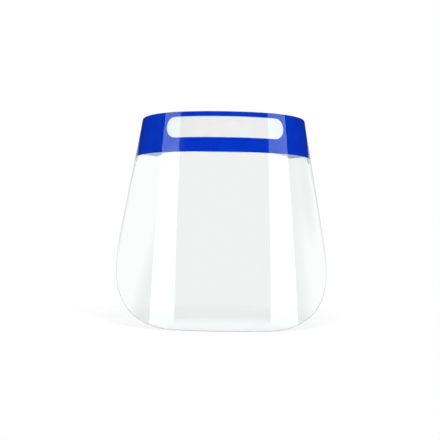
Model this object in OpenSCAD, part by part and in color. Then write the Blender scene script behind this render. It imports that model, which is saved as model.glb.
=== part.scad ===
// Disposable face shield: a clear film bent round the face, with a printed header along its top,
// a foam pad for the forehead and an elastic strap stapled to the film's two ends.
// +Z is up and the wearer looks along -Y. The origin is the middle of the pad's forehead face.
// The film bends to a cone whose front line stands upright, so it flares towards the chin.

/* [Visor film] */
// Width of the flat film sheet
film_width = 330; // [290:1:360]
// Height of the flat film sheet
film_height = 220; // [180:1:270]
// Thickness of the film
film_thickness = 0.25; // [0.2:0.05:0.5]
// Radius of the two bottom corners of the flat sheet
bottom_corner_radius = 115; // [30:1:125]
// Radius of the two top corners of the flat sheet
top_corner_radius = 6; // [2:1:10]
// Radius of the bend at the top edge, to the outer face
bend_radius = 83; // [78:1:105]
// Flare of the bent film, as half the angle of its cone
flare_angle = 10.75; // [6:0.25:12]

/* [Header] */
// Height of the printed header, from the film's top edge
header_height = 40.5; // [38:0.5:50]
// Thickness of the blue print layer
print_thickness = 0.12; // [0.1:0.01:0.2]
// Thickness of the white backing layer
backing_thickness = 0.12; // [0.1:0.01:0.2]
// Length of the pill-shaped window in the print
window_length = 130; // [60:0.5:160]
// Height of the window
window_height = 21; // [12:0.5:26]
// Distance from the film's top edge to the window
window_drop = 5; // [3:0.5:9]

/* [Foam pad] */
// Distance along the header from each end of the pad to the strap
pad_end_gap = 16; // [4:1:30]
// Height of the pad
pad_height = 37; // [30:1:46]
// Thickness of the pad at its middle
pad_thickness = 25; // [15:1:32]
// Distance from the film's top edge to the pad
pad_drop = 1; // [0:0.5:4]
// Swell of the forehead face from its edges to its middle
pad_crown = 2; // [0.5:0.25:4]
// Radius of the forehead face's edges and ends
pad_edge_radius = 5; // [2:0.5:6]
// Thickness of the double-sided tape behind the pad
tape_thickness = 0.2; // [0.1:0.05:0.4]
// Distance that the tape stops short of the pad's outline
tape_margin = 2; // [1:0.5:5]

/* [Strap] */
// Width of the elastic strap
strap_width = 20; // [15:1:25]
// Thickness of the elastic strap
strap_thickness = 1.2; // [0.8:0.1:2]
// Length of strap that lies on the film at each end
strap_tab = 24; // [20:1:30]
// Distance from the film's top edge to the strap, at the film's ends
strap_drop = 3; // [1:0.5:10]
// Angle between the strap and the film's top edge, at which the strap runs level
strap_angle = 9.25; // [4:0.25:12]
// Room for the head, from the pad to the relaxed strap at the back
head_room = 162; // [150:1:190]
// Radius of the strap's inner face at the back
strap_back_radius = 86; // [75:1:95]
// Half the angle that the back of the strap turns through
strap_back_angle = 36; // [30:1:45]

/* [Staples] */
// Diameter of the staple wire
wire_diameter = 0.6; // [0.4:0.05:0.8]
// Width of a staple over the middle of its legs
staple_span = 12; // [8:0.5:14]
// Distance from the film's end to the outer staple
staple_inset = 6; // [4:0.5:8]
// Distance between the two staples of a side
staple_pitch = 9; // [6:0.5:12]
// Length of each leg's clinched end
clinch_length = 3.5; // [2:0.25:4]

/* [Clearances] */
// Glue line between two bonded layers
glue_line = 0.05; // [0.03:0.01:0.1]
// Clearance round a staple leg in its pierced hole
pierce_clearance = 0.06; // [0.04:0.01:0.15]
// Clearance under a staple's crown and over its clinched ends
staple_clearance = 0.1; // [0.05:0.05:0.3]
// Gap between the moving back of the strap and its two sides
strap_gap = 0.3; // [0.2:0.1:0.5]

/* [Hidden] */
$fn = 144;

// Depths under the film's outer face, from the film to the forehead
print_depth = film_thickness + glue_line;
backing_depth = print_depth + print_thickness + glue_line;
bond_depth = backing_depth + backing_thickness + glue_line;
pad_depth = bond_depth + tape_thickness + glue_line;
forehead_depth = pad_depth + pad_thickness;
strap_depth = bond_depth + strap_thickness / 2;
clinch_depth = bond_depth + strap_thickness + staple_clearance + wire_diameter / 2;

// Places of the film in the part's frame
film_end = film_width / 2;
front_y = -forehead_depth;
top_z = pad_drop + pad_height / 2;
apex_slant = bend_radius / sin(flare_angle);
apex_z = top_z + apex_slant;

// Length of the pad along the header, between the strap's two tabs
pad_length = film_width - 2 * (strap_tab + pad_end_gap);

// Places of the strap's back
back_center_y = head_room - strap_back_radius;
back_middle_radius = strap_back_radius + strap_thickness / 2;

// Sizes of the cutting shapes, which reach past the film on every side
cut_margin = 5;
cut_reach = film_width;
cone_top = apex_slant * cos(flare_angle) - cut_margin;
cone_bottom = norm([film_end, apex_slant + film_height]) * cos(flare_angle) + cut_margin;

// Steps along outlines and sweeps
edge_steps = 20;
end_steps = 6;
corner_steps = 16;
pad_steps = 40;
pad_face_steps = 8;
round_steps = 4;
tab_steps = 8;
run_steps = 20;

// Distance of a flat-sheet point, u across and v down, from the cone's apex
function slant(u, v) = norm([u, apex_slant + v]);

// Turn of a flat-sheet point round the cone's axis
function turn(u, v) = atan2(u, apex_slant + v) / sin(flare_angle);

// Point of the cone's own frame, whose axis runs down from the apex, in the part's frame
function tilted(p) = [
    p.x,
    p.y * cos(flare_angle) - p.z * sin(flare_angle) + front_y,
    p.y * sin(flare_angle) + p.z * cos(flare_angle) + apex_z
];

// Point of the bent sheet, u across and v down the flat sheet and d under its outer face
function bent(u, v, d = 0) =
    let (
        s = slant(u, v),
        t = turn(u, v),
        radius = s * sin(flare_angle) - d * cos(flare_angle),
        height = -s * cos(flare_angle) - d * sin(flare_angle)
    )
    tilted([radius * sin(t), -radius * cos(t), height]);

function unit(p) = p / norm(p);

// Points inside a straight line, without its two ends
function line(from, to, steps) = [for (i = [1 : steps - 1]) from + (to - from) * i / steps];

// Points of an arc about a center, with both ends
function arc(center, radius, from, to, steps) = [
    for (i = [0 : steps])
        let (a = from + (to - from) * i / steps)
        center + radius * [cos(a), sin(a)]
];

// Half of the film's top edge in the flat sheet, from the middle round the top corner
function top_edge() = concat(
    [[0, 0]],
    line([0, 0], [film_end - top_corner_radius, 0], edge_steps),
    arc([film_end - top_corner_radius, top_corner_radius], top_corner_radius, -90, 0, round_steps)
);

// Half of the film's outline from the top middle round to the bottom middle, in the flat sheet
function film_edge() = concat(
    top_edge(),
    line([film_end, top_corner_radius], [film_end, film_height - bottom_corner_radius], end_steps),
    arc([film_end - bottom_corner_radius, film_height - bottom_corner_radius],
        bottom_corner_radius, 0, 90, corner_steps),
    line([film_end - bottom_corner_radius, film_height], [0, film_height], end_steps),
    [[0, film_height]]
);

// Half of the header's outline, which follows the film's top and ends
function header_edge() = concat(
    top_edge(),
    [[film_end, header_height]],
    line([film_end, header_height], [0, header_height], edge_steps),
    [[0, header_height]]
);

// Half of the tape's outline, inside the pad's
function tape_edge() = let (
    end = pad_length / 2 - tape_margin,
    top = pad_drop + tape_margin,
    bottom = pad_drop + pad_height - tape_margin
) concat(
    [[0, top]],
    line([0, top], [end, top], edge_steps),
    [[end, top], [end, bottom]],
    line([end, bottom], [0, bottom], edge_steps),
    [[0, bottom]]
);

// Whole outline of the window in the flat sheet, with full-round ends
function window_edge() = let (
    r = window_height / 2,
    side = window_length / 2 - r,
    middle = window_drop + r
) concat(
    arc([side, middle], r, -90, 90, corner_steps),
    line([side, middle + r], [-side, middle + r], edge_steps),
    arc([-side, middle], r, 90, 270, corner_steps),
    line([-side, middle - r], [side, middle - r], edge_steps)
);

// Frustum of the bend, a given depth under the film's outer face
module bend_cone(depth, extra) {
    inset = depth / cos(flare_angle);
    translate([0, 0, -cone_bottom - extra])
        cylinder(
            h = cone_bottom - cone_top + 2 * extra,
            r1 = (cone_bottom + extra) * tan(flare_angle) - inset,
            r2 = (cone_top - extra) * tan(flare_angle) - inset
        );
}

// Moves the cone's own frame to its place behind the film's front line
module in_bend() {
    translate([0, front_y, apex_z]) rotate([flare_angle, 0, 0]) children();
}

// Sheet of the bend, cut along X to half an outline of the flat sheet that both sides share
module bent_sheet(depth, thickness, edge) {
    side_view = [for (p = edge) let (q = bent(p.x, p.y)) [q.y, q.z]];
    in_front = front_y - cut_margin;
    outline = concat(
        [[in_front, side_view[len(side_view) - 1].y], [in_front, side_view[0].y]],
        side_view
    );
    intersection() {
        in_bend() difference() {
            bend_cone(depth, 0);
            bend_cone(depth + thickness, 1);
        }
        rotate([90, 0, 90]) linear_extrude(2 * cut_reach, center = true) polygon(outline);
    }
}

// Window through the front half of the header, cut along Y
module window_cut() {
    front_view = [for (p = window_edge()) let (q = bent(p.x, p.y)) [q.x, q.z]];
    translate([0, front_y + bend_radius, 0])
        rotate([90, 0, 0]) linear_extrude(bend_radius + cut_margin) polygon(front_view);
}

// Puts a piece on the film's outer face: X along the bend, Y up the sheet and Z outwards
module on_film(u, v) {
    s = slant(u, v);
    in_bend()
        rotate([0, 0, turn(u, v)])
            translate([0, -s * sin(flare_angle), -s * cos(flare_angle)])
                rotate([90 - flare_angle, 0, 0])
                    children();
}

// Puts a piece at each staple of one side, across the middle of the strap
module at_staples(side) {
    for (i = [0, 1]) {
        u = film_end - staple_inset - i * staple_pitch;
        on_film(side * u, strap_line(u)) children();
    }
}

// Holes that the staples of both sides pierce
module staple_holes() {
    for (side = [-1, 1])
        at_staples(side)
            for (leg = [-1, 1])
                translate([0, leg * staple_span / 2, -clinch_depth])
                    cylinder(d = wire_diameter + 2 * pierce_clearance, h = clinch_depth + cut_margin);
}

// Quarter bend of staple wire round the origin, from -Z to +Y
module wire_elbow(radius) {
    rotate([0, 90, 0])
        rotate_extrude(angle = 90)
            translate([radius, 0]) circle(d = wire_diameter, $fn = 24);
}

// Half of a staple: half its crown, one leg through all layers and its clinched end
module half_staple() {
    elbow = wire_diameter;
    crown_z = staple_clearance + wire_diameter / 2;
    leg_y = staple_span / 2;
    rotate([-90, 0, 0]) translate([0, -crown_z, 0]) cylinder(d = wire_diameter, h = leg_y - elbow, $fn = 24);
    translate([0, leg_y - elbow, crown_z - elbow]) rotate([90, 0, 0]) wire_elbow(elbow);
    translate([0, leg_y, elbow - clinch_depth])
        cylinder(d = wire_diameter, h = crown_z + clinch_depth - 2 * elbow, $fn = 24);
    translate([0, leg_y - elbow, elbow - clinch_depth]) wire_elbow(elbow);
    translate([0, leg_y - elbow - clinch_length, -clinch_depth])
        rotate([-90, 0, 0]) cylinder(d = wire_diameter, h = clinch_length, $fn = 24);
}

module staple() {
    half_staple();
    mirror([0, 1, 0]) half_staple();
}

// Closed solid through rings of points, each ring turning the same way round the sweep
module swept(rings) {
    n = len(rings[0]);
    last = len(rings) - 1;
    points = [for (ring = rings) each ring];
    walls = [
        for (i = [0 : last - 1], j = [0 : n - 1])
            let (a = i * n + j, b = i * n + (j + 1) % n)
            each [[a, b, b + n], [a, b + n, a + n]]
    ];
    caps = [[for (j = [n - 1 : -1 : 0]) j], [for (j = [0 : n - 1]) last * n + j]];
    polyhedron(points, concat(walls, caps), convexity = 6);
}

// Depth of the pad's forehead face across its height and along its length
function pad_face(v, u) =
    let (
        across = 2 * (v - pad_drop) / pad_height - 1,
        to_end = max(0, abs(u) - pad_length / 2 + pad_edge_radius),
        end_drop = pad_edge_radius - sqrt(max(0, pad_edge_radius ^ 2 - to_end ^ 2))
    )
    forehead_depth - pad_crown * across ^ 2 - end_drop;

// Ring of the pad at u along the header: its glued face, then its crowned face with round edges
function pad_ring(u) =
    let (
        top = pad_drop,
        bottom = pad_drop + pad_height,
        r = pad_edge_radius,
        lower = [
            for (i = [0 : round_steps])
                let (a = 90 * i / round_steps, v = bottom - r + r * cos(a))
                [v, pad_face(v, u) - r + r * sin(a)]
        ],
        face = [
            for (i = [1 : pad_face_steps - 1])
                let (v = bottom - r + (top + 2 * r - bottom) * i / pad_face_steps)
                [v, pad_face(v, u)]
        ],
        upper = [
            for (i = [round_steps : -1 : 0])
                let (a = 90 * i / round_steps, v = top + r - r * cos(a))
                [v, pad_face(v, u) - r + r * sin(a)]
        ]
    )
    [for (p = concat([[top, pad_depth], [bottom, pad_depth]], lower, face, upper)) bent(u, p.x, p.y)];

// Places of the pad's rings along the header, closer together round its two ends
function pad_stations() =
    let (
        side = pad_length / 2 - pad_edge_radius,
        end = [for (i = [1 : round_steps]) side + pad_edge_radius * sin(90 * i / round_steps)]
    )
    concat(
        [for (i = [round_steps - 1 : -1 : 0]) -end[i]],
        [for (i = [0 : pad_steps]) side * (2 * i / pad_steps - 1)],
        end
    );

// Ring of the strap about a point of its middle line, from its direction and the way down its width
function strap_ring(middle, along, down) =
    let (
        ahead = unit(along),
        wide = unit(down - (down * ahead) * ahead) * strap_width / 2,
        thick = cross(ahead, unit(wide)) * strap_thickness / 2
    )
    [middle + wide + thick, middle - wide + thick, middle - wide - thick, middle + wide - thick];

// Distance from the film's top edge to the strap's middle line, u across the flat sheet
function strap_line(u) = strap_drop + strap_width / 2 + (film_end - u) * tan(strap_angle);

// Middle of the strap's tab on the bent sheet, its direction there and the way down the sheet
function tab_middle(u) = bent(u, strap_line(u), strap_depth);
function tab_along(u) = unit(tab_middle(u + 1) - tab_middle(u - 1));
function tab_down(u) = unit(bent(u, strap_line(u) + 1, strap_depth) - tab_middle(u));

// Ring of the strap's tab, which lies on the bent sheet
function tab_ring(u) = strap_ring(tab_middle(u), tab_along(u), tab_down(u));

// Ring of the free run, a share of the way from the film's end to the strap's back
function run_ring(share) =
    let (
        start = tab_middle(film_end),
        end = [
            back_middle_radius * sin(strap_back_angle),
            back_center_y + back_middle_radius * cos(strap_back_angle),
            start.z
        ],
        pull = norm(end - start),
        start_pull = pull * tab_along(film_end),
        end_pull = pull * [-cos(strap_back_angle), sin(strap_back_angle), 0],
        t = share,
        middle = (2 * t ^ 3 - 3 * t ^ 2 + 1) * start + (t ^ 3 - 2 * t ^ 2 + t) * start_pull
            + (3 * t ^ 2 - 2 * t ^ 3) * end + (t ^ 3 - t ^ 2) * end_pull,
        along = (6 * t ^ 2 - 6 * t) * (start - end) + (3 * t ^ 2 - 4 * t + 1) * start_pull
            + (3 * t ^ 2 - 2 * t) * end_pull,
        ease = t * t * (3 - 2 * t)
    )
    strap_ring(middle, along, (1 - ease) * tab_down(film_end) + ease * [0, 0, -1]);

// One side of the strap on the +X side: its tab on the film and its free run
module strap_side() {
    tab = [for (i = [0 : tab_steps - 1]) tab_ring(film_end - strap_tab * (1 - i / tab_steps))];
    run = [for (i = [0 : run_steps]) run_ring(i / run_steps)];
    difference() {
        swept(concat(tab, run));
        staple_holes();
    }
}

module visor_film() {
    color("aliceblue", 0.35) difference() {
        bent_sheet(0, film_thickness, film_edge());
        staple_holes();
    }
}

module header_band() {
    color("#0435be") difference() {
        bent_sheet(print_depth, print_thickness, header_edge());
        window_cut();
        staple_holes();
    }
}

module header_backing() {
    color("whitesmoke") difference() {
        bent_sheet(backing_depth, backing_thickness, header_edge());
        staple_holes();
    }
}

module foam_tape() {
    color("wheat") bent_sheet(bond_depth, tape_thickness, tape_edge());
}

module foam_pad() {
    color("gainsboro")
        swept([for (u = pad_stations()) pad_ring(u)]);
}

module strap_left() {
    color("white") strap_side();
}

module strap_right() {
    color("white") mirror([1, 0, 0]) strap_side();
}

module strap_back() {
    half_turn = strap_back_angle - strap_gap / strap_back_radius * 180 / PI;
    color("white")
        translate([0, back_center_y, tab_middle(film_end).z - strap_width / 2])
            rotate([0, 0, 90 - half_turn])
                rotate_extrude(angle = 2 * half_turn)
                    translate([strap_back_radius, 0]) square([strap_thickness, strap_width]);
}

module staples_left() {
    color("silver") at_staples(1) staple();
}

module staples_right() {
    color("silver") at_staples(-1) staple();
}

visor_film();
header_band();
header_backing();
foam_tape();
foam_pad();
strap_left();
strap_back();
strap_right();
staples_left();
staples_right();
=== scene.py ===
"""Looks of a disposable face shield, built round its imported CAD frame."""

import math

import bpy
import numpy as np
from bpy.props import FloatProperty, FloatVectorProperty, IntProperty, PointerProperty
from mathutils import Matrix, Vector


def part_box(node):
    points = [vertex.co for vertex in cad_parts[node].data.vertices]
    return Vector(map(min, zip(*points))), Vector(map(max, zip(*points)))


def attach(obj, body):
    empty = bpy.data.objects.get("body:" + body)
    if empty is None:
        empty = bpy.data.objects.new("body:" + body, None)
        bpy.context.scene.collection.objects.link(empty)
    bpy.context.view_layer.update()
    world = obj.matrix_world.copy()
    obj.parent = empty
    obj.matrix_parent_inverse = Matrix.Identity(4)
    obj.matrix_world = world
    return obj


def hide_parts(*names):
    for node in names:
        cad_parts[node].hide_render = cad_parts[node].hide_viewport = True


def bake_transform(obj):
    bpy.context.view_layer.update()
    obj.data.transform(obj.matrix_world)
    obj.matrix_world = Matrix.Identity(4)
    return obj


bl_info = {
    "name": "Face Shield",
    "version": (1, 0, 0),
    "blender": (4, 5, 0),
    "location": "View3D > Sidebar > Face Shield",
    "description": "Builds the film, header, pad, strap and staples of a face shield",
    "category": "Object",
}

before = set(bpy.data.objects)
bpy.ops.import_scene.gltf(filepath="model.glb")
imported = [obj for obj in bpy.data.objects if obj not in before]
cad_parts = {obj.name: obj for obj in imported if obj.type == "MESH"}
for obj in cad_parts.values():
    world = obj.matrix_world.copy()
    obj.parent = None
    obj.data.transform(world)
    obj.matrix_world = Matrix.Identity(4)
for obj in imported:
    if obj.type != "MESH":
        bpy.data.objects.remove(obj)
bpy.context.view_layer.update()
FILM_LOW, FILM_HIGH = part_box("visor_film")
BACK_LOW, BACK_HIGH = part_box("strap_back")
MM = 0.001
PET_IOR = 1.57
WHITE = (1, 1, 1, 1)
# The square picture, in its own pixels: half its width, and the focal length that fits the view.
PICTURE_HALF, PICTURE_FOCUS = 220, 1200
PICTURE_ANGLE = math.degrees(2 * math.atan(PICTURE_HALF / PICTURE_FOCUS))
# The floor's paper begins to fade and is gone at these distances from its middle.
FLOOR_FADE = (0.14, 0.36)


def linear(hex_colour):
    """Scene-linear colour of an sRGB hex value."""
    parts = [int(hex_colour[i : i + 2], 16) / 255 for i in (1, 3, 5)]
    return [p / 12.92 if p <= 0.04045 else ((p + 0.055) / 1.055) ** 2.4 for p in parts]


def place_prop(name, description, metres, **limits):
    """A length that the user sees in the scene's own unit."""
    return FloatProperty(
        name=name, description=description, default=metres, unit="LENGTH", precision=5, **limits
    )


def size_prop(name, description, millimetres):
    """A length that can't be negative."""
    return place_prop(name, description, millimetres * MM, min=0.0)


def colour_prop(name, description, hex_colour):
    """A colour that starts from an sRGB hex value."""
    colour = linear(hex_colour)
    return FloatVectorProperty(
        name=name, description=description, default=colour, min=0.0, max=1.0, subtype="COLOR"
    )


def angle_prop(name, description, degrees):
    """An angle that the user sees in the scene's own unit."""
    return FloatProperty(
        name=name, description=description, default=math.radians(degrees), subtype="ANGLE"
    )


def light_prop(name, description, brightness):
    """The brightness of a light."""
    return FloatProperty(name=name, description=description, default=brightness, min=0.0)


class FilmSettings(bpy.types.PropertyGroup):
    """Sizes and colours of the visor film, as it lies flat and as it is bent."""

    width: size_prop("Width", "Width of the flat film", 330)
    height: size_prop("Height", "Height of the flat film", 220)
    thickness: size_prop("Thickness", "Thickness of the film", 0.25)
    top_corner: size_prop("Top corner", "Radius of the two top corners", 6)
    bottom_corner: size_prop("Bottom corner", "Radius of the two bottom corners", 115)
    lip: size_prop("Cut lip", "Width that the cutting die rolls over at the edge", 0.35)
    bend_radius: size_prop("Bend radius", "Radius of the bend at the top front", 83)
    flare: angle_prop("Flare", "Half angle of the cone that the film is bent to", 10.75)
    front: place_prop("Front", "Place of the film's front line", FILM_LOW.y)
    top: place_prop("Top", "Height of the film's top edge", FILM_HIGH.z)
    tint: colour_prop("Tint", "Colour of light that has passed the film", "#FDFEFE")
    edge: colour_prop("Cut edge", "Colour of the sheared edge", "#84928F")


class HeaderSettings(bpy.types.PropertyGroup):
    """Height and colours of the header's two layers and of the tape behind them."""

    height: size_prop("Height", "Height of the printed header, from the film's top edge", 40.5)
    blue: colour_prop("Blue", "Colour of the printed band", "#0537CB")
    blue_thin: colour_prop("Thin blue", "Colour where the ink lies thinner", "#0A40D4")
    white: colour_prop("White", "Colour of the flood coat behind the print", "#FBFAF9")
    # The coat's back is tinged by the blue and also darkened with painted shade.
    shaded_white_back: colour_prop("White back", "Colour of the coat's back, tinged by the blue", "#98A7C9")
    tape: colour_prop("Tape", "Colour of the adhesive tape", "#E9E4D6")


class PadSettings(bpy.types.PropertyGroup):
    """Sizes and colours of the forehead pad."""

    length: size_prop("Length", "Length along the header", 250)
    height: size_prop("Height", "Height of the pad", 37)
    thickness: size_prop("Thickness", "Thickness from the tape to the forehead", 25)
    drop: size_prop("Drop", "Distance from the film's top edge to the pad", 1)
    depth: size_prop("Depth", "Depth of the glued face under the film's face", 0.89)
    crown: size_prop("Crown", "Rise of the forehead face between its edges", 2)
    soft_edge: size_prop("Soft edge", "Radius of the edges at the forehead", 5)
    cut_edge: size_prop("Cut edge", "Radius of the edges at the tape", 0.6)
    creases: IntProperty(
        name="Creases",
        description="Number of creases that the bend presses into the forehead face",
        default=17,
        min=0,
    )
    crease_depth: size_prop("Crease depth", "Depth of the deepest crease", 0.9)
    pore: size_prop("Pore", "Size of the foam's open cells", 1.0)
    colour: colour_prop("Foam", "Colour of the foam", "#D9DFE0")
    # The pores' colour is painted shade down in the open cells.
    pore_shade_colour: colour_prop("Pores", "Colour down in the pores", "#B7BFC2")


class StrapSettings(bpy.types.PropertyGroup):
    """Sizes and colours of the elastic strap."""

    width: size_prop("Width", "Width of the strap", 20)
    thickness: size_prop("Thickness", "Thickness of the strap", 1.2)
    tab: size_prop("Tab", "Length that lies on the header at each end", 24)
    drop: size_prop("Drop", "Distance from the film's top to the strap", 3)
    angle: angle_prop("Angle", "Angle between the strap and the film's top edge", 9.25)
    depth: size_prop("Depth", "Depth of the strap's middle under the film's face", 1.24)
    back_radius: size_prop("Back radius", "Radius of the middle line at the back", 86.6)
    back_angle: angle_prop("Back angle", "Half the angle that the strap's back turns through", 36)
    rib: size_prop("Rib", "Distance between two ribs of the knit", 2.5)
    stitch: size_prop("Stitch", "Length of one stitch along the strap", 2.4)
    yarn: colour_prop("Yarn", "Colour of the covering yarn", "#F4F4F1")
    # The groove colour is painted shade down between the ribs.
    groove_shade: colour_prop("Groove", "Colour down between two ribs", "#BFC1BF")


class StapleSettings(bpy.types.PropertyGroup):
    """Colours of the staple wire."""

    zinc: colour_prop("Zinc", "Colour of the galvanised wire", "#C9CCCE")
    dull_zinc: colour_prop("Dull zinc", "Colour where the zinc has dulled", "#9EA3A7")


class StageSettings(bpy.types.PropertyGroup):
    """Camera, lights and floor."""

    camera_place: FloatVectorProperty(
        name="Camera place",
        description="Place of the camera in the part's frame",
        default=(-30.02 * MM, -1223.05 * MM, -89.3 * MM),
        subtype="TRANSLATION",
        unit="LENGTH",
        precision=5,
    )
    yaw: angle_prop("Yaw", "Turn of the camera round the part", 1.233)
    roll: angle_prop("Roll", "Turn of the camera round its own axis", 0.876)
    field: angle_prop("Field of view", "Angle that the square picture takes in", PICTURE_ANGLE)
    fill: light_prop("Fill light", "Brightness of the even light from all round", 1.0)
    key: light_prop("Key softbox", "Brightness of the large softbox above the camera", 3.3)
    softbox: light_prop("Strip softboxes", "Brightness of the two strip softboxes", 2.3)
    overhead: light_prop("Overhead softbox", "Brightness of the softbox above", 0.4)
    strip_colour: colour_prop("Strip colour", "Colour of the strip softboxes", "#D8F6FF")
    floor: colour_prop("Floor", "Colour of the floor", "#EAEAEA")


class FaceShieldSettings(bpy.types.PropertyGroup):
    """All sizes and colours of the face shield."""

    film: PointerProperty(type=FilmSettings)
    header: PointerProperty(type=HeaderSettings)
    pad: PointerProperty(type=PadSettings)
    strap: PointerProperty(type=StrapSettings)
    staple: PointerProperty(type=StapleSettings)
    stage: PointerProperty(type=StageSettings)


def settings():
    """The face shield's settings in the open scene."""
    return bpy.context.scene.face_shield


def add_node(tree, kind, sockets=None, links=None, **options):
    """Adds a shader node with its options, its plain socket values and its links."""
    node = tree.nodes.new("ShaderNode" + kind)
    for name, value in options.items():
        setattr(node, name, value)
    for name, value in (sockets or {}).items():
        node.inputs[name].default_value = value
    for name, source in (links or {}).items():
        tree.links.new(source, node.inputs[name])
    return node


def new_material(name):
    """An empty material, its node tree and the socket that takes its surface."""
    material = bpy.data.materials.new(name)
    material.use_nodes = True
    tree = material.node_tree
    tree.nodes.clear()
    return material, tree, add_node(tree, "OutputMaterial").inputs["Surface"]


def rgba(colour):
    """An opaque colour, as sockets take it."""
    return (*colour, 1.0)


def per(size):
    """Texture scale at which a pattern repeats once in this size."""
    return 1.0 / size


def smooth(t):
    """An even ease from 0 to 1."""
    t = np.clip(t, 0, 1)
    return t * t * (3 - 2 * t)


def bent(u, v, d):
    """Points of the bent sheet: u across and v down the flat sheet, d under its face."""
    film = settings().film
    sine, cosine = math.sin(film.flare), math.cos(film.flare)
    apex = film.bend_radius / sine
    u, v, d = np.broadcast_arrays(*(np.asarray(x, float) for x in (u, v, d)))
    slant = np.hypot(u, apex + v)
    turn = np.arctan2(u, apex + v) / sine
    radius = slant * sine - d * cosine
    height = -slant * cosine - d * sine
    x, y = radius * np.sin(turn), -radius * np.cos(turn)
    return np.stack(
        [x, y * cosine - height * sine + film.front, y * sine + height * cosine + film.top + apex],
        axis=-1,
    )


def unit(p):
    """Vectors of length 1 in the same directions."""
    return p / np.linalg.norm(p, axis=-1, keepdims=True)


def add_mesh(name, points, faces, materials, face_materials=None, sharp=None):
    """A smooth-shaded mesh object in the scene, sharp at edges over an angle."""
    mesh = bpy.data.meshes.new(name)
    mesh.from_pydata(np.asarray(points).tolist(), [], faces)
    for material in materials:
        mesh.materials.append(material)
    if face_materials is not None:
        mesh.polygons.foreach_set("material_index", face_materials)
    mesh.validate()
    mesh.shade_smooth()
    if sharp is not None:
        mesh.set_sharp_from_angle(angle=sharp)
    made = bpy.data.objects.new(name, mesh)
    bpy.context.scene.collection.objects.link(made)
    return made


def map_flat(piece, name, places):
    """A UV map with each vertex's place on the flat piece, in metres."""
    corners = np.empty(len(piece.data.loops), np.int32)
    piece.data.loops.foreach_get("vertex_index", corners)
    layer = piece.data.uv_layers.new(name=name)
    layer.uv.foreach_set("vector", np.asarray(places, np.float32)[corners].ravel())


def dress(node_name, material):
    """Gives a CAD node a finished material."""
    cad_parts[node_name].material_slots[0].material = material


def clear_film_material():
    """PET sheet, extruded and polished between chill rolls."""
    # Both faces of the thin sheet mirror the lights, about a tenth head on and far more at a
    # glancing angle. The rest passes straight through with a faint cool cast.
    material, tree, surface = new_material("PET_extruded_clear")
    film = settings().film
    place = add_node(tree, "TexCoord").outputs["Object"]
    # Rolling leaves ripples some 70 mm long that only make reflections waver.
    ripple = add_node(tree, "TexNoise", {"Scale": per(70 * MM), "Detail": 1.0}, {"Vector": place})
    wavy = add_node(
        tree, "Bump", {"Strength": 0.35, "Distance": 0.15 * MM}, {"Height": ripple.outputs["Fac"]}
    )
    sheet_place = add_node(tree, "UVMap", uv_map="flat")
    down = add_node(tree, "SeparateXYZ", None, {0: sheet_place.outputs["UV"]})
    printed = add_node(
        tree, "Math", {1: settings().header.height}, {0: down.outputs["Y"]}, operation="LESS_THAN"
    )
    # Over the header the normal leans back by about a degree, so that the band mirrors the dark
    # above the pale sweep. Only reflections show it.
    header_lean = (0, 0, 0.02)
    lean = add_node(
        tree, "VectorMath", {0: header_lean}, {"Scale": printed.outputs[0]}, operation="SCALE"
    )
    leaning = add_node(
        tree, "VectorMath", None, {0: wavy.outputs["Normal"], 1: lean.outputs[0]}, operation="ADD"
    )
    normal = add_node(tree, "VectorMath", None, {0: leaning.outputs[0]}, operation="NORMALIZE")
    one_face = add_node(tree, "Fresnel", {"IOR": PET_IOR}, {"Normal": normal.outputs[0]})
    # Echoes between the two faces: the sheet mirrors 2R / (1 + R), once, at the face a ray enters.
    # Over the header the ink wets the back face, so only the front one mirrors there.
    plus_one = add_node(tree, "Math", {1: 1.0}, {0: one_face.outputs["Fac"]}, operation="ADD")
    share = add_node(
        tree, "Math", None, {0: one_face.outputs["Fac"], 1: plus_one.outputs[0]}, operation="DIVIDE"
    )
    both = add_node(tree, "Math", {1: 2.0}, {0: share.outputs[0]}, operation="MULTIPLY")
    faces = add_node(
        tree,
        "Mix",
        None,
        {0: printed.outputs[0], 2: both.outputs[0], 3: one_face.outputs["Fac"]},
        data_type="FLOAT",
    )
    side = add_node(tree, "NewGeometry")
    entering = add_node(
        tree, "Math", {0: 1.0}, {1: side.outputs["Backfacing"]}, operation="SUBTRACT"
    )
    mirrored = add_node(
        tree, "Math", None, {0: faces.outputs[0], 1: entering.outputs[0]}, operation="MULTIPLY"
    )
    through = add_node(tree, "BsdfTransparent", {"Color": rgba(film.tint)})
    gloss = add_node(
        tree, "BsdfGlossy", {"Color": WHITE, "Roughness": 0.03}, {"Normal": normal.outputs[0]}
    )
    sheet = add_node(
        tree,
        "MixShader",
        None,
        {0: mirrored.outputs[0], 1: through.outputs[0], 2: gloss.outputs[0]},
    )
    tree.links.new(sheet.outputs[0], surface)
    return material


def film_edge_material():
    """PET sheet, sheared by the cutting die."""
    # The crushed edge scatters light, so the clear film is outlined by a fine grey-green line.
    material, tree, surface = new_material("PET_die_cut_edge")
    place = add_node(tree, "TexCoord").outputs["Object"]
    chatter = add_node(tree, "TexNoise", {"Scale": per(3 * MM), "Detail": 3.0}, {"Vector": place})
    rough = add_node(
        tree, "MapRange", {"To Min": 0.35, "To Max": 0.6}, {"Value": chatter.outputs["Fac"]}
    )
    frosted = add_node(
        tree,
        "BsdfPrincipled",
        {"Base Color": rgba(settings().film.edge), "IOR": PET_IOR},
        {"Roughness": rough.outputs[0]},
    )
    through = add_node(tree, "BsdfTransparent", {"Color": WHITE})
    opacity = 0.95
    edge = add_node(tree, "MixShader", {0: opacity}, {1: through.outputs[0], 2: frosted.outputs[0]})
    tree.links.new(edge.outputs[0], surface)
    return material


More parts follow.
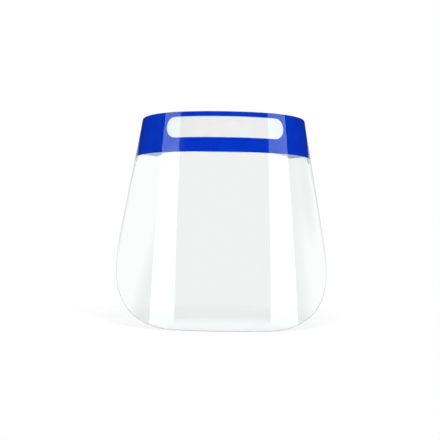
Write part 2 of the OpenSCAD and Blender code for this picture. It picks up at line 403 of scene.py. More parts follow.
def printed_blue_material():
    """Opaque blue ink, screen-printed on the back of the film."""
    # The gloss is the film's own. The ink itself is matt, with cloudy patches where the
    # squeegee left it thinner and a fine mesh grain.
    header = settings().header
    material, tree, surface = new_material("Ink_screen_printed_blue")
    place = add_node(tree, "TexCoord").outputs["Object"]
    clouds = add_node(tree, "TexNoise", {"Scale": per(18 * MM), "Detail": 4.0}, {"Vector": place})
    # The real mesh has a thread each 0.1 mm. It is drawn at 0.8 mm, so that it shows.
    mesh_grain = add_node(
        tree, "TexNoise", {"Scale": per(0.8 * MM), "Detail": 1.0}, {"Vector": place}
    )
    thin = add_node(
        tree, "MapRange", {"From Min": 0.35, "From Max": 0.75}, {"Value": clouds.outputs["Fac"]}
    )
    ink = add_node(
        tree,
        "Mix",
        {6: rgba(header.blue), 7: rgba(header.blue_thin)},
        {0: thin.outputs[0]},
        data_type="RGBA",
    )
    normal = add_node(
        tree,
        "Bump",
        {"Strength": 0.15, "Distance": 0.03 * MM},
        {"Height": mesh_grain.outputs["Fac"]},
    )
    coat = add_node(
        tree,
        "BsdfPrincipled",
        {"Roughness": 0.7, "Specular IOR Level": 0.0},
        {"Base Color": ink.outputs[2], "Normal": normal.outputs["Normal"]},
    )
    tree.links.new(coat.outputs[0], surface)
    return material


def white_coat_material():
    """Opaque white ink, flooded over the back of the print."""
    # Matt and even, with the faint pinholes and clouds of a thick screen-printed coat.
    film, header = settings().film, settings().header
    material, tree, surface = new_material("Ink_flood_coat_white")
    coordinates = add_node(tree, "TexCoord").outputs
    place, outward = coordinates["Object"], coordinates["Normal"]
    clouds = add_node(tree, "TexNoise", {"Scale": per(9 * MM), "Detail": 5.0}, {"Vector": place})
    shade = add_node(
        tree,
        "MapRange",
        {"From Min": 0.3, "From Max": 0.8, "To Min": 0.95, "To Max": 1.0},
        {"Value": clouds.outputs["Fac"]},
    )
    # The back faces the middle of the bend. The blue shows faintly through the coat there, and its
    # colour is also darkened with painted shade.
    bend_middle = (0, film.front + film.bend_radius, 0)
    from_middle = add_node(tree, "VectorMath", {1: bend_middle}, {0: place}, operation="SUBTRACT")
    facing = add_node(
        tree, "VectorMath", None, {0: from_middle.outputs[0], 1: outward}, operation="DOT_PRODUCT"
    )
    back = add_node(tree, "Math", {1: 0.0}, {0: facing.outputs["Value"]}, operation="LESS_THAN")
    sided = add_node(
        tree,
        "Mix",
        {6: rgba(header.white), 7: rgba(header.shaded_white_back)},
        {0: back.outputs[0]},
        data_type="RGBA",
    )
    tone = add_node(
        tree, "VectorMath", None, {0: sided.outputs[2], "Scale": shade.outputs[0]}, operation="SCALE"
    )
    grain = add_node(tree, "TexNoise", {"Scale": per(0.9 * MM), "Detail": 2.0}, {"Vector": place})
    normal = add_node(
        tree, "Bump", {"Strength": 0.25, "Distance": 0.04 * MM}, {"Height": grain.outputs["Fac"]}
    )
    coat = add_node(
        tree,
        "BsdfPrincipled",
        {"Roughness": 0.6, "Specular IOR Level": 0.25},
        {"Base Color": tone.outputs[0], "Normal": normal.outputs["Normal"]},
    )
    tree.links.new(coat.outputs[0], surface)
    return material


def tape_material():
    """Tissue tape, coated with acrylic glue on both sides."""
    # Cream and slightly wet-looking, with the long fibres of the tissue under the glue.
    material, tree, surface = new_material("Tissue_tape_acrylic")
    place = add_node(tree, "TexCoord").outputs["Object"]
    along = add_node(tree, "Mapping", {"Scale": (0.25, 0.25, 1.0)}, {"Vector": place})
    fibres = add_node(
        tree, "TexNoise", {"Scale": per(1 * MM), "Detail": 4.0}, {"Vector": along.outputs[0]}
    )
    shade = add_node(
        tree, "MapRange", {"To Min": 0.82, "To Max": 1.0}, {"Value": fibres.outputs["Fac"]}
    )
    tone = add_node(
        tree,
        "VectorMath",
        {0: settings().header.tape},
        {"Scale": shade.outputs[0]},
        operation="SCALE",
    )
    normal = add_node(
        tree, "Bump", {"Strength": 0.3, "Distance": 0.05 * MM}, {"Height": fibres.outputs["Fac"]}
    )
    glue = add_node(
        tree,
        "BsdfPrincipled",
        {"Roughness": 0.35},
        {"Base Color": tone.outputs[0], "Normal": normal.outputs["Normal"]},
    )
    tree.links.new(glue.outputs[0], surface)
    return material


def foam_material():
    """Polyurethane foam, open-celled and sliced from a block."""
    # The sliced cells catch no gloss at all: a chalky face dotted with pits, darkened with painted
    # shade.
    pad = settings().pad
    material, tree, surface = new_material("Polyurethane_foam_sliced")
    place = add_node(tree, "TexCoord").outputs["Object"]
    # The real cells are about 0.5 mm across. They are drawn larger, so that they show.
    cells = add_node(tree, "TexVoronoi", {"Scale": per(pad.pore)}, {"Vector": place})
    fine_pore = pad.pore / 2.3
    fine = add_node(tree, "TexVoronoi", {"Scale": per(fine_pore)}, {"Vector": place})
    wide_pits = add_node(
        tree, "MapRange", {"From Min": 0.12, "From Max": 0.6}, {"Value": cells.outputs["Distance"]}
    )
    fine_pits = add_node(
        tree,
        "MapRange",
        {"From Min": 0.1, "From Max": 0.55, "To Min": 0.45},
        {"Value": fine.outputs["Distance"]},
    )
    pits = add_node(
        tree, "Math", None, {0: wide_pits.outputs[0], 1: fine_pits.outputs[0]}, operation="MULTIPLY"
    )
    clouds = add_node(tree, "TexNoise", {"Scale": per(14 * MM), "Detail": 3.0}, {"Vector": place})
    uneven = add_node(
        tree, "MapRange", {"To Min": 0.9, "To Max": 1.04}, {"Value": clouds.outputs["Fac"]}
    )
    # Painted shade darkens the foam down in its pits.
    tone = add_node(
        tree,
        "Mix",
        {6: rgba(pad.pore_shade_colour), 7: rgba(pad.colour)},
        {0: pits.outputs[0]},
        data_type="RGBA",
    )
    shade = add_node(
        tree, "VectorMath", None, {0: tone.outputs[2], "Scale": uneven.outputs[0]}, operation="SCALE"
    )
    normal = add_node(
        tree, "Bump", {"Strength": 0.8, "Distance": 0.35 * MM}, {"Height": pits.outputs[0]}
    )
    foam = add_node(
        tree,
        "BsdfPrincipled",
        {
            "Roughness": 0.95,
            "Specular IOR Level": 0.15,
            "Sheen Weight": 0.15,
            "Sheen Roughness": 0.6,
        },
        {"Base Color": shade.outputs[0], "Normal": normal.outputs["Normal"]},
    )
    tree.links.new(foam.outputs[0], surface)
    return material


def elastic_material():
    """Polyester yarn over rubber threads, knitted flat."""
    # Rows of slanted stitches run in ribs along the strap: soft ridges with grooves between them,
    # darkened with painted shade, and no gloss.
    # They are drawn about twice as long as real ones, so that they show.
    strap = settings().strap
    material, tree, surface = new_material("Elastic_knitted_polyester")
    place = add_node(tree, "UVMap", uv_map="knit")
    split = add_node(tree, "SeparateXYZ", None, {0: place.outputs["UV"]})
    rib = add_node(tree, "Math", {1: per(strap.rib)}, {0: split.outputs["Y"]}, operation="MULTIPLY")
    # From 0 down in a groove to a half on the crest of a rib.
    slope = add_node(tree, "Math", {1: 0.5}, {0: rib.outputs[0]}, operation="PINGPONG")
    stitch = add_node(
        tree, "Math", {1: per(strap.stitch)}, {0: split.outputs["X"]}, operation="MULTIPLY"
    )
    slant = 1.2
    slanted = add_node(
        tree,
        "Math",
        {1: slant},
        {0: slope.outputs[0], 2: stitch.outputs[0]},
        operation="MULTIPLY_ADD",
    )
    turns = add_node(tree, "Math", {1: 2 * math.pi}, {0: slanted.outputs[0]}, operation="MULTIPLY")
    loops = add_node(tree, "Math", None, {0: turns.outputs[0]}, operation="SINE")
    loop_height = add_node(
        tree,
        "MapRange",
        {"From Min": -1.0, "From Max": 1.0, "To Min": 0.45},
        {"Value": loops.outputs[0]},
    )
    ridge = add_node(
        tree,
        "MapRange",
        {"From Max": 0.5},
        {"Value": slope.outputs[0]},
        interpolation_type="SMOOTHSTEP",
    )
    lift = add_node(
        tree, "Math", None, {0: loop_height.outputs[0], 1: ridge.outputs[0]}, operation="MULTIPLY"
    )
    fuzz_place = add_node(tree, "TexCoord").outputs["Object"]
    fuzz = add_node(
        tree, "TexNoise", {"Scale": per(0.7 * MM), "Detail": 3.0}, {"Vector": fuzz_place}
    )
    fuzz_height = 0.12
    height = add_node(
        tree,
        "Math",
        {1: fuzz_height},
        {0: fuzz.outputs["Fac"], 2: lift.outputs[0]},
        operation="MULTIPLY_ADD",
    )
    # Painted shade darkens the yarn in the grooves and in the low parts of the loops.
    tone = add_node(
        tree,
        "Mix",
        {6: rgba(strap.groove_shade), 7: rgba(strap.yarn)},
        {0: height.outputs[0]},
        data_type="RGBA",
    )
    normal = add_node(
        tree, "Bump", {"Strength": 0.35, "Distance": 0.2 * MM}, {"Height": lift.outputs[0]}
    )
    yarn = add_node(
        tree,
        "BsdfPrincipled",
        {
            "Roughness": 0.85,
            "Specular IOR Level": 0.25,
            "Sheen Weight": 0.25,
            "Sheen Roughness": 0.4,
        },
        {"Base Color": tone.outputs[2], "Normal": normal.outputs["Normal"]},
    )
    tree.links.new(yarn.outputs[0], surface)
    return material


def wire_material():
    """Steel wire, drawn and galvanised."""
    # A bright grey metal, satin from drawing, with duller patches of zinc.
    staple = settings().staple
    material, tree, surface = new_material("Steel_wire_galvanised")
    place = add_node(tree, "TexCoord").outputs["Object"]
    # Zinc crystals on such thin wire are hardly visible. They are drawn 0.8 mm wide.
    spangle = add_node(tree, "TexVoronoi", {"Scale": per(0.8 * MM)}, {"Vector": place})
    tone = add_node(
        tree,
        "Mix",
        {6: rgba(staple.zinc), 7: rgba(staple.dull_zinc)},
        {0: spangle.outputs["Distance"]},
        data_type="RGBA",
    )
    rough = add_node(
        tree, "MapRange", {"To Min": 0.25, "To Max": 0.45}, {"Value": spangle.outputs["Distance"]}
    )
    metal = add_node(
        tree,
        "BsdfPrincipled",
        {"Metallic": 1.0},
        {"Base Color": tone.outputs[2], "Roughness": rough.outputs[0]},
    )
    tree.links.new(metal.outputs[0], surface)
    return material


def floor_material():
    """Seamless paper, matt and pale."""
    # It takes the soft shadow near the part and fades into the bright background further out.
    material, tree, surface = new_material("Paper_seamless_white")
    place = add_node(tree, "TexCoord").outputs["Object"]
    paper = add_node(tree, "BsdfDiffuse", {"Color": rgba(settings().stage.floor)})
    away = add_node(tree, "VectorMath", None, {0: place}, operation="LENGTH")
    fade = add_node(
        tree,
        "MapRange",
        {"From Min": FLOOR_FADE[0], "From Max": FLOOR_FADE[1]},
        {"Value": away.outputs["Value"]},
        interpolation_type="SMOOTHSTEP",
    )
    # Further out the camera sees the background's white in its place, and other rays pass.
    path = add_node(tree, "LightPath")
    clear = add_node(tree, "BsdfTransparent", {"Color": WHITE})
    white = add_node(tree, "Emission", {"Color": WHITE, "Strength": 1.0})
    gone = add_node(
        tree,
        "MixShader",
        None,
        {0: path.outputs["Is Camera Ray"], 1: clear.outputs[0], 2: white.outputs[0]},
    )
    material.cycles.emission_sampling = "NONE"
    sweep = add_node(
        tree, "MixShader", None, {0: fade.outputs[0], 1: paper.outputs[0], 2: gone.outputs[0]}
    )
    tree.links.new(sweep.outputs[0], surface)
    return material


class FACESHIELD_OT_film(bpy.types.Operator):
    """Bend the clear visor film from its flat outline and round its cut edge"""

    bl_idname = "faceshield.film"
    bl_label = "Visor Film"

    ROWS, TOP_CORNER_ROWS, COLUMNS = 96, 7, 168
    # The rolled lip: how far out and how deep each ring of the cut edge lies, as shares.
    LIP_RINGS = ((0.72, 0.10), (1.0, 0.34), (1.0, 0.66), (0.72, 0.90))

    def half_width(self, v, inset):
        """Half the flat film's width at v down from its top edge, inside an even margin."""
        film = settings().film
        top, bottom = film.top_corner - inset, film.bottom_corner - inset
        half, height = film.width / 2 - inset, film.height - 2 * inset
        v = v - inset
        into_top = np.clip(top - v, 0, top)
        into_bottom = np.clip(v - (height - bottom), 0, bottom)
        narrowed = top - np.sqrt(top**2 - into_top**2)
        return half - narrowed - (bottom - np.sqrt(bottom**2 - into_bottom**2))

    def execute(self, context):
        film = settings().film
        inset = film.lip
        # Rows crowd together where the round corners make the width change fast.
        corner = np.sin(np.linspace(0, math.pi / 2, self.ROWS // 2))
        opening = 1 - np.cos(np.linspace(0, math.pi / 2, self.TOP_CORNER_ROWS))
        upper = inset + (film.top_corner - inset) * opening
        start = film.height - film.bottom_corner
        middle = np.linspace(film.top_corner, start, self.ROWS // 2)[1:-1]
        v = np.concatenate([upper, middle, start + (film.bottom_corner - inset) * corner])
        across = np.linspace(-1, 1, self.COLUMNS + 1)
        grid_u = self.half_width(v, inset)[:, None] * across[None, :]
        grid_v = np.broadcast_to(v[:, None], grid_u.shape)
        rows, columns = grid_u.shape
        index = np.arange(rows * columns).reshape(rows, columns)
        rim = np.concatenate([index[0, :-1], index[:-1, -1], index[-1, :0:-1], index[:0:-1, 0]])
        flat = np.stack([grid_u.ravel(), grid_v.ravel()], axis=-1)
        ahead = np.roll(flat[rim], -1, axis=0) - np.roll(flat[rim], 1, axis=0)
        outward = unit(np.stack([ahead[:, 1], -ahead[:, 0]], axis=-1))
        points = [bent(flat[:, 0], flat[:, 1], 0.0), bent(flat[:, 0], flat[:, 1], film.thickness)]
        places = [flat, flat]
        for out, deep in self.LIP_RINGS:
            ring = flat[rim] + outward * film.lip * out
            points.append(bent(ring[:, 0], ring[:, 1], film.thickness * deep))
            places.append(ring)
        count, around = rows * columns, len(rim)
        faces, finish = [], []
        for i in range(rows - 1):
            for j in range(columns - 1):
                a, b = int(index[i, j]), int(index[i, j + 1])
                c, e = int(index[i + 1, j + 1]), int(index[i + 1, j])
                faces.append((a, e, c, b))
                faces.append((a + count, b + count, c + count, e + count))
                finish += [0, 0]
        rings = [rim]
        for k in range(len(self.LIP_RINGS)):
            rings.append(2 * count + k * around + np.arange(around))
        rings.append(rim + count)
        for near, far in zip(rings, rings[1:]):
            for k in range(around):
                n = (k + 1) % around
                faces.append((int(near[k]), int(near[n]), int(far[n]), int(far[k])))
                finish.append(1)
        piece = add_mesh(
            "visor_film_sheet",
            np.concatenate(points),
            faces,
            [clear_film_material(), film_edge_material()],
            finish,
            sharp=math.radians(40),
        )
        map_flat(piece, "flat", np.concatenate(places))
        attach(piece, "shield")
        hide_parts("visor_film")
        return {"FINISHED"}


class FACESHIELD_OT_header(bpy.types.Operator):
    """Finish the blue print, the white coat behind it and the tape"""

    bl_idname = "faceshield.header"
    bl_label = "Header"

    def execute(self, context):
        dress("header_band", printed_blue_material())
        dress("header_backing", white_coat_material())
        dress("foam_tape", tape_material())
        return {"FINISHED"}


class FACESHIELD_OT_pad(bpy.types.Operator):
    """Model the foam pad, pressed into shallow creases by its bend"""

    bl_idname = "faceshield.pad"
    bl_label = "Forehead Pad"

    CELLS = (210, 34, 22)
    SEED = 7
    # Shifts are shares of the spacing, widths millimetres and depths shares of the deepest crease.
    CREASE_SHIFT, CREASE_LEAN = 0.3, 0.12
    CREASE_WIDTHS, CREASE_DEPTHS, CREASE_END = (1.6, 2.8), (0.35, 1.0), 0.8
    # Length and height of the three swells that make the forehead face uneven.
    SWELLS = ((31 * MM, 0.22 * MM), (17 * MM, 0.12 * MM), (9 * MM, 0.06 * MM))

    def skin(self):
        """Points and faces of a box of cells, on -1 to 1 each way."""
        cells = self.CELLS
        index, points, faces = {}, [], []

        def corner(place):
            if place not in index:
                index[place] = len(points)
                points.append([2 * p / n - 1 for p, n in zip(place, cells)])
            return index[place]

        for axis in range(3):
            one, two = (axis + 1) % 3, (axis + 2) % 3
            for end in (0, cells[axis]):
                for i in range(cells[one]):
                    for j in range(cells[two]):
                        quad = []
                        for di, dj in ((0, 0), (1, 0), (1, 1), (0, 1)):
                            place = [0, 0, 0]
                            place[axis], place[one], place[two] = end, i + di, j + dj
                            quad.append(corner(tuple(place)))
                        faces.append(tuple(quad if end else reversed(quad)))
        return np.array(points), faces

    def execute(self, context):
        pad = settings().pad
        half = np.array([pad.length, pad.height, pad.thickness]) / 2
        box, faces = self.skin()
        forward = (box[:, 2:] + 1) / 2
        radius = pad.cut_edge + (pad.soft_edge - pad.cut_edge) * smooth(forward)
        core = np.clip(box * half, radius - half, half - radius)
        out = box * half - core
        place = core + radius * out / np.maximum(np.linalg.norm(out, axis=1, keepdims=True), 1e-9)
        u, v, d = place.T
        share = np.clip(d / half[2] / 2 + 0.5, 0, 1)
        d = d - pad.crown * (v / half[1]) ** 2 * share
        draw = np.random.default_rng(self.SEED)
        spacing = pad.length / max(pad.creases, 1)
        for k in range(pad.creases):
            shift = draw.uniform(-self.CREASE_SHIFT, self.CREASE_SHIFT)
            middle = (k + 0.5) * spacing - half[0] + shift * spacing
            lean = draw.uniform(-self.CREASE_LEAN, self.CREASE_LEAN)
            wide = draw.uniform(*self.CREASE_WIDTHS) * MM
            deep = draw.uniform(*self.CREASE_DEPTHS) * pad.crease_depth
            edge = draw.choice([-1, 1])
            reach = smooth(0.5 + edge * v / half[1] * self.CREASE_END)
            valley = np.exp(-(((u - middle - lean * v) / wide) ** 2))
            d = d - deep * valley * reach * share**3
        for pitch, lift in self.SWELLS:
            along, across = draw.uniform(0, 2 * math.pi, 2)
            wave = np.sin(2 * math.pi * u / pitch + along) * np.cos(math.pi * v / pitch + across)
            d = d - lift * (1 + wave) / 2 * share**2
        points = bent(u, v + pad.drop + half[1], d + pad.depth + half[2])
        piece = add_mesh("forehead_pad", points, faces, [foam_material()], sharp=math.radians(60))
        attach(piece, "shield")
        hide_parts("foam_pad")
        return {"FINISHED"}


class FACESHIELD_OT_strap(bpy.types.Operator):
    """Knit the elastic strap in one length, from header end to header end"""

    bl_idname = "faceshield.strap"
    bl_label = "Elastic Strap"

    TAB_STEPS, RUN_STEPS, BACK_STEPS = 24, 72, 48
    POINTS_PER_RIB = 6
    # Shares of half the thickness: the rounding of the strap's edges and the floor of its grooves.
    EDGE_ROUND, GROOVE_FLOOR = 0.9, 0.72
    # Below 1, the power makes the ribs fuller than a plain wave.
    RIB_FULLNESS = 0.7

    def tab(self, u):
        """Middle of a tab on the bent sheet, its direction and the way down the sheet."""
        film, strap = settings().film, settings().strap

        def line(x):
            return strap.drop + strap.width / 2 + (film.width / 2 - x) * math.tan(strap.angle)

        middle = bent(u, line(u), strap.depth)
        ahead = bent(u + MM, line(u + MM), strap.depth) - bent(u - MM, line(u - MM), strap.depth)
        return middle, ahead, bent(u, line(u) + MM, strap.depth) - middle

    def half_route(self):
        """Middle line from a tab's end to the middle of the back, its way down and its way out."""
        film, strap = settings().film, settings().strap
        end = film.width / 2
        u = np.linspace(end - strap.tab, end, self.TAB_STEPS, endpoint=False)
        middle, ahead, down = self.tab(u)
        start, start_way, start_down = self.tab(end)
        angle = strap.back_angle
        center = BACK_HIGH.y - strap.back_radius - strap.thickness / 2
        side, reach = strap.back_radius * math.sin(angle), strap.back_radius * math.cos(angle)
        finish = np.array([side, center + reach, start[2]])
        pull = np.linalg.norm(finish - start)
        start_pull = pull * unit(start_way)
        finish_pull = pull * np.array([-math.cos(angle), math.sin(angle), 0])
        t = np.linspace(0, 1, self.RUN_STEPS, endpoint=False)[:, None]
        run = (2 * t**3 - 3 * t**2 + 1) * start + (t**3 - 2 * t**2 + t) * start_pull
        run = run + (3 * t**2 - 2 * t**3) * finish + (t**3 - t**2) * finish_pull
        run_way = (6 * t**2 - 6 * t) * (start - finish) + (3 * t**2 - 4 * t + 1) * start_pull
        run_way = run_way + (3 * t**2 - 2 * t) * finish_pull
        run_down = (1 - smooth(t)) * unit(start_down) + smooth(t) * np.array([0, 0, -1.0])
        turn = np.linspace(angle, 0, self.BACK_STEPS)
        level = np.zeros_like(turn)
        round_x, round_y = strap.back_radius * np.sin(turn), strap.back_radius * np.cos(turn)
        back = np.stack([round_x, center + round_y, level + start[2]], axis=-1)
        back_way = np.stack([-np.cos(turn), np.sin(turn), level], axis=-1)
        back_down = np.stack([level, level, level - 1], axis=-1)
        middle = np.concatenate([middle, run, back])
        ahead = unit(np.concatenate([ahead, run_way, back_way]))
        down = np.concatenate([down, run_down, back_down])
        down = unit(down - np.sum(down * ahead, axis=1, keepdims=True) * ahead)
        return middle, down, np.cross(down, ahead)

    def section(self):
        """Places across the strap and out of it, round one ribbed cross-section."""
        strap = settings().strap
        half, thick = strap.width / 2, strap.thickness / 2
        count = round(strap.width / strap.rib) * self.POINTS_PER_RIB
        across = np.linspace(-half, half, count + 1)
        round_edge = thick * self.EDGE_ROUND
        into = np.clip((np.abs(across) - (half - round_edge)) / round_edge, 0, 1)
        wave = np.abs(np.cos(math.pi * (across + half) / strap.rib - math.pi / 2))
        rib = self.GROOVE_FLOOR + (1 - self.GROOVE_FLOOR) * wave**self.RIB_FULLNESS
        out = thick * rib * np.sqrt(np.clip(1 - into**2, 0, 1))
        ring_across = np.concatenate([across, across[-2:0:-1]])
        ring_out = np.concatenate([out, -out[-2:0:-1]])
        return ring_across, ring_out

    def execute(self, context):
        middle, down, outward = self.half_route()
        flip = np.array([-1.0, 1.0, 1.0])
        middle, down, outward = (
            np.concatenate([half, (half * flip)[-2::-1]]) for half in (middle, down, outward)
        )
        across, out = self.section()
        points = (
            middle[:, None, :]
            + across[None, :, None] * down[:, None, :]
            + out[None, :, None] * outward[:, None, :]
        )
        stations, around = points.shape[:2]
        run = np.concatenate([[0], np.cumsum(np.linalg.norm(np.diff(middle, axis=0), axis=1))])
        last = (stations - 1) * around
        faces = [tuple(range(around - 1, -1, -1)), tuple(range(last, last + around))]
        for here in range(0, last, around):
            for j in range(around):
                k = (j + 1) % around
                faces.append((here + j, here + k, here + around + k, here + around + j))
        points = points.reshape(-1, 3)
        knit = elastic_material()
        piece = add_mesh("elastic_strap", points, faces, [knit], sharp=math.radians(60))
        places = np.stack([np.repeat(run, around), np.tile(across, stations)], axis=-1)
        map_flat(piece, "knit", places)
        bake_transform(piece)
        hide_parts("strap_left", "strap_back", "strap_right")
        return {"FINISHED"}


class FACESHIELD_OT_staples(bpy.types.Operator):
    """Finish the four staples that hold the strap"""

    bl_idname = "faceshield.staples"
    bl_label = "Staples"

    def execute(self, context):
        wire = wire_material()
        dress("staples_left", wire)
        dress("staples_right", wire)
        return {"FINISHED"}


class FACESHIELD_OT_stage(bpy.types.Operator):
    """Set up the floor, the studio light and the camera"""

    bl_idname = "faceshield.stage"
    bl_label = "Stage"

    FLOOR_RADIUS, FLOOR_SIDES, FLOOR_GAP = 0.55, 96, 0.3 * MM
    # Name, azimuth in degrees, width in metres and roll in degrees. The rise is in degrees too.
    STRIPS = (("strip_right", -68.1, 0.44, 38.9), ("strip_left", 71.4, 0.55, -32.6))
    STRIP_RISE, STRIP_DISTANCE, STRIP_HEIGHT = 1.7, 1.2, 2.0

    def add_softbox(self, name, azimuth, elevation, distance, size, brightness, roll=0.0):
        """A soft rectangular light that faces the part, azimuth from the front towards +X."""
        a, e = math.radians(azimuth), math.radians(elevation)
        towards = Vector((math.sin(a) * math.cos(e), -math.cos(a) * math.cos(e), math.sin(e)))
        light = bpy.data.lights.new(name, "AREA")
        light.shape = "RECTANGLE"
        light.size, light.size_y = size
        light.energy = brightness * math.pi * size[0] * size[1]
        made = bpy.data.objects.new(name, light)
        facing = (-towards).to_track_quat("-Z", "Y").to_matrix().to_4x4()
        made.matrix_world = (
            Matrix.Translation(self.aim + towards * distance)
            @ facing
            @ Matrix.Rotation(math.radians(roll), 4, "Z")
        )
        bpy.context.scene.collection.objects.link(made)
        return made

    def add_floor(self):
        """A round sheet of paper just under the film's lowest edge."""
        turn = np.linspace(0, 2 * math.pi, self.FLOOR_SIDES, endpoint=False)
        rim = np.stack([np.cos(turn), np.sin(turn), 0 * turn], axis=-1) * self.FLOOR_RADIUS
        points = np.concatenate([[[0, 0, 0]], rim])
        n = self.FLOOR_SIDES
        faces = [(0, 1 + k, 1 + (k + 1) % n) for k in range(n)]
        floor = add_mesh("floor", points, faces, [floor_material()])
        floor.location = (0, (FILM_LOW.y + BACK_HIGH.y) / 2, FILM_LOW.z - self.FLOOR_GAP)

    def add_world(self):
        """White to look at, a dark room with a pale sweep to mirror, and an even fill light."""
        stage = settings().stage
        world = bpy.data.worlds.new("studio")
        world.use_nodes = True
        tree = world.node_tree
        tree.nodes.clear()
        output = add_node(tree, "OutputWorld")
        path = add_node(tree, "LightPath")
        white = add_node(tree, "Background", {"Color": WHITE, "Strength": 1.0})
        way = add_node(tree, "TexCoord").outputs["Generated"]
        x, y, z = add_node(tree, "SeparateXYZ", None, {0: way}).outputs
        # The fill light is weaker from below, so undersides fall into a soft shade.
        from_below = 0.35 * stage.fill
        above = add_node(
            tree,
            "MapRange",
            {"From Min": -0.4, "From Max": 0.2, "To Min": from_below, "To Max": stage.fill},
            {"Value": z},
        )
        fill = add_node(tree, "Background", {"Color": WHITE}, {"Strength": above.outputs[0]})
        # Glossy film mirrors a pale sweep low down behind and beside the part, and above it the
        # dark of the room. Its numbers are parts of a direction of length 1. The sweep's rim dips
        # towards the far back and, a little, towards +X.
        dip_start, dip_share, tilt = 0.45, 0.14, 0.008
        far = add_node(tree, "Math", {1: dip_start}, {0: y}, operation="SUBTRACT")
        past = add_node(tree, "Math", {1: 0.0}, {0: far.outputs[0]}, operation="MAXIMUM")
        dip = add_node(tree, "Math", {1: 2.0}, {0: past.outputs[0]}, operation="POWER")
        height = z
        for share, change in ((dip_share, dip.outputs[0]), (tilt, x)):
            raised = add_node(
                tree, "Math", {1: share}, {0: change, 2: height}, operation="MULTIPLY_ADD"
            )
            height = raised.outputs[0]
        pale = add_node(tree, "MapRange", {"From Min": 0.147, "From Max": 0.136}, {"Value": height})
        # It is shaded high up towards +X.
        plus_x = add_node(tree, "MapRange", {"From Min": 0.55, "From Max": 0.85}, {"Value": x})
        high = add_node(
            tree, "MapRange", {"From Min": 0.055, "From Max": 0.09, "To Max": 0.5}, {"Value": z}
        )
        shade = add_node(
            tree, "Math", None, {0: plus_x.outputs[0], 1: high.outputs[0]}, operation="MULTIPLY"
        )
        sweep_level, room_level = 0.97, 0.015
        lit = add_node(tree, "Math", {0: sweep_level}, {1: shade.outputs[0]}, operation="SUBTRACT")
        # It ends beside the part, and towards -X its upper part comes further to the front.
        minus_x = add_node(tree, "MapRange", {"From Max": -1.0}, {"Value": x})
        upper = add_node(tree, "MapRange", {"From Max": 0.12, "To Max": 0.6}, {"Value": z})
        depth = add_node(
            tree,
            "Math",
            None,
            {0: minus_x.outputs[0], 1: upper.outputs[0], 2: y},
            operation="MULTIPLY_ADD",
        )
        beside = add_node(
            tree, "MapRange", {"From Min": -0.1, "From Max": 0.3}, {"Value": depth.outputs[0]}
        )
        # Straight behind it is a little darker.
        behind = add_node(
            tree,
            "MapRange",
            {"From Min": 0.88, "From Max": 0.96, "To Min": 1.0, "To Max": 0.7},
            {"Value": y},
        )
        for part in (lit, beside, behind):
            pale = add_node(
                tree, "Math", None, {0: pale.outputs[0], 1: part.outputs[0]}, operation="MULTIPLY"
            )
        level = add_node(tree, "MapRange", {"To Min": room_level}, {"Value": pale.outputs[0]})
        room = add_node(tree, "Background", {"Color": WHITE}, {"Strength": level.outputs[0]})
        mirrored = add_node(
            tree,
            "MixShader",
            None,
            {0: path.outputs["Is Glossy Ray"], 1: fill.outputs[0], 2: room.outputs[0]},
        )
        shown = add_node(
            tree,
            "MixShader",
            None,
            {0: path.outputs["Is Camera Ray"], 1: mirrored.outputs[0], 2: white.outputs[0]},
        )
        tree.links.new(shown.outputs[0], output.inputs["Surface"])
        bpy.context.scene.world = world

    def add_camera(self):
        """A level camera in front, turned a little round the part and round its own axis."""
        stage = settings().stage
        data = bpy.data.cameras.new("camera")
        data.sensor_fit, data.sensor_width = "HORIZONTAL", 36.0
        data.lens = data.sensor_width / 2 / math.tan(stage.field / 2)
        made = bpy.data.objects.new("camera", data)
        place = Vector(stage.camera_place)
        made.matrix_world = (
            Matrix.Translation(place)
            @ Matrix.Rotation(-stage.yaw, 4, "Z")
            @ Matrix.Rotation(math.pi / 2, 4, "X")
            @ Matrix.Rotation(stage.roll, 4, "Z")
        )
        bpy.context.scene.collection.objects.link(made)
        bpy.context.scene.camera = made

    def execute(self, context):
        stage = settings().stage
        self.aim = Vector((0, 0, (FILM_LOW.z + FILM_HIGH.z) / 2))
        self.add_floor()
        self.add_world()
        for name, azimuth, width, roll in self.STRIPS:
            size = (width, self.STRIP_HEIGHT)
            box = self.add_softbox(
                name, azimuth, self.STRIP_RISE, self.STRIP_DISTANCE, size, stage.softbox, roll
            )
            box.data.color = stage.strip_colour
            # The strips are there to be mirrored. The fill stands for the light that they cast.
            box.visible_diffuse = False
        self.add_softbox(
            "key", azimuth=4, elevation=45, distance=1.3, size=(0.8, 0.8), brightness=stage.key
        )
        self.add_softbox(
            "overhead",
            azimuth=180,
            elevation=75,
            distance=1.2,
            size=(1.0, 1.0),
            brightness=stage.overhead,
        )
        self.add_camera()
        bpy.context.scene.view_settings.view_transform = "Standard"
        return {"FINISHED"}


class FACESHIELD_PT_pieces(bpy.types.Panel):
    """Lists the pieces of the face shield and their settings"""

    bl_idname = "FACESHIELD_PT_pieces"
    bl_label = "Face Shield"
    bl_space_type = "VIEW_3D"
    bl_region_type = "UI"
    bl_category = "Face Shield"

    def draw(self, context):
        for operator, group in STEPS:
            box = self.layout.box()
            box.operator(operator.bl_idname)
            values = getattr(context.scene.face_shield, group)
            for name in values.__annotations__:
                box.prop(values, name)


STEPS = (
    (FACESHIELD_OT_film, "film"),
    (FACESHIELD_OT_header, "header"),
    (FACESHIELD_OT_pad, "pad"),
    (FACESHIELD_OT_strap, "strap"),
    (FACESHIELD_OT_staples, "staple"),
    (FACESHIELD_OT_stage, "stage"),
)

CLASSES = (
    FilmSettings,
    HeaderSettings,
    PadSettings,
    StrapSettings,
    StapleSettings,
    StageSettings,
    FaceShieldSettings,
    *(operator for operator, group in STEPS),
    FACESHIELD_PT_pieces,
)


def register():
    for kind in CLASSES:
        bpy.utils.register_class(kind)
    bpy.types.Scene.face_shield = PointerProperty(type=FaceShieldSettings)


def unregister():
    del bpy.types.Scene.face_shield
    for kind in reversed(CLASSES):
        bpy.utils.unregister_class(kind)


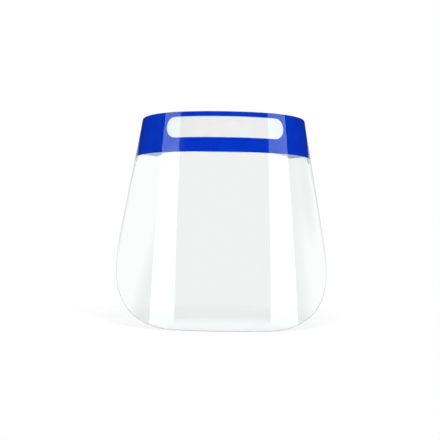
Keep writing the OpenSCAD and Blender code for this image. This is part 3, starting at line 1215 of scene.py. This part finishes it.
def main():
    register()
    bpy.ops.faceshield.film()
    bpy.ops.faceshield.header()
    bpy.ops.faceshield.pad()
    bpy.ops.faceshield.strap()
    bpy.ops.faceshield.staples()
    bpy.ops.faceshield.stage()


if __name__ == "__main__":
    main()
